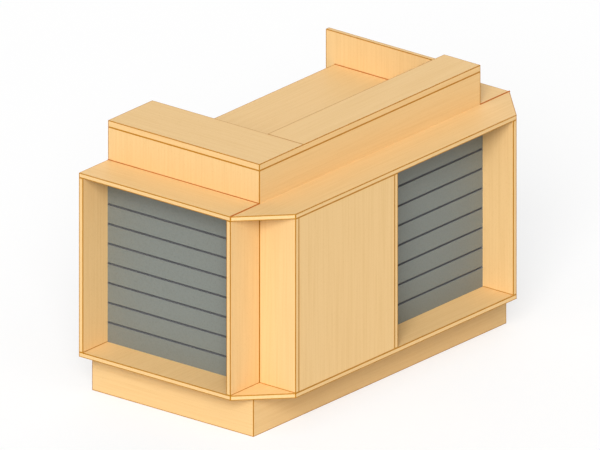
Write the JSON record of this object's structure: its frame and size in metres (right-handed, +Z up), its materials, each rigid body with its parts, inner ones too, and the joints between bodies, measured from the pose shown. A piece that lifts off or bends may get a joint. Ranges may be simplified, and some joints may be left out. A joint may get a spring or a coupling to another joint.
{
  "type": "wooden market stall counter",
  "caption": "L-shaped seller's counter of laminated chipboard with a raised top, set-back plinth, cut corners and open display boxes backed by slotted panels.",
  "frame": {"origin": "on the floor, under the middle of the stall's outline", "axes": "+X to the right along the front as a customer sees it, +Y towards the seller's open rear, +Z up"},
  "size_m": [1.58, 0.855, 1],
  "materials": {
    "laminated_board": "satin melamine laminate in a light beech colour, edges banded",
    "slotted_panel": "matt grey melamine over fibreboard"
  },
  "bodies": {
    "root": {"box_top_left": "laminated_board", "box_top_right": "laminated_board", "counter_top_front": "laminated_board", "counter_top_left": "laminated_board", "deck": "laminated_board", "front_box_divider": "laminated_board", "front_box_left_side": "laminated_board", "front_box_right_side": "laminated_board", "front_closed_panel": "laminated_board", "left_box_front_side": "laminated_board", "left_box_rear_side": "laminated_board", "plinth_bearer_1": "laminated_board", "plinth_bearer_2": "laminated_board", "plinth_front": "laminated_board", "plinth_left": "laminated_board", "plinth_rear": "laminated_board", "plinth_right": "laminated_board", "right_box_front_side": "laminated_board", "right_box_rear_side": "laminated_board", "riser_front": "laminated_board", "slat_panel_front": "slotted_panel", "slat_panel_left": "slotted_panel", "slat_panel_right": "slotted_panel", "storage_partition": "laminated_board", "storage_shelf_left": "laminated_board", "storage_shelf_right": "laminated_board", "top_upright_middle": "laminated_board", "top_upright_rear": "laminated_board", "top_upright_seam": "laminated_board", "wall_front": "laminated_board", "wall_left": "laminated_board", "wall_right": "laminated_board", "worktop": "laminated_board"}
  },
  "joints": []
}
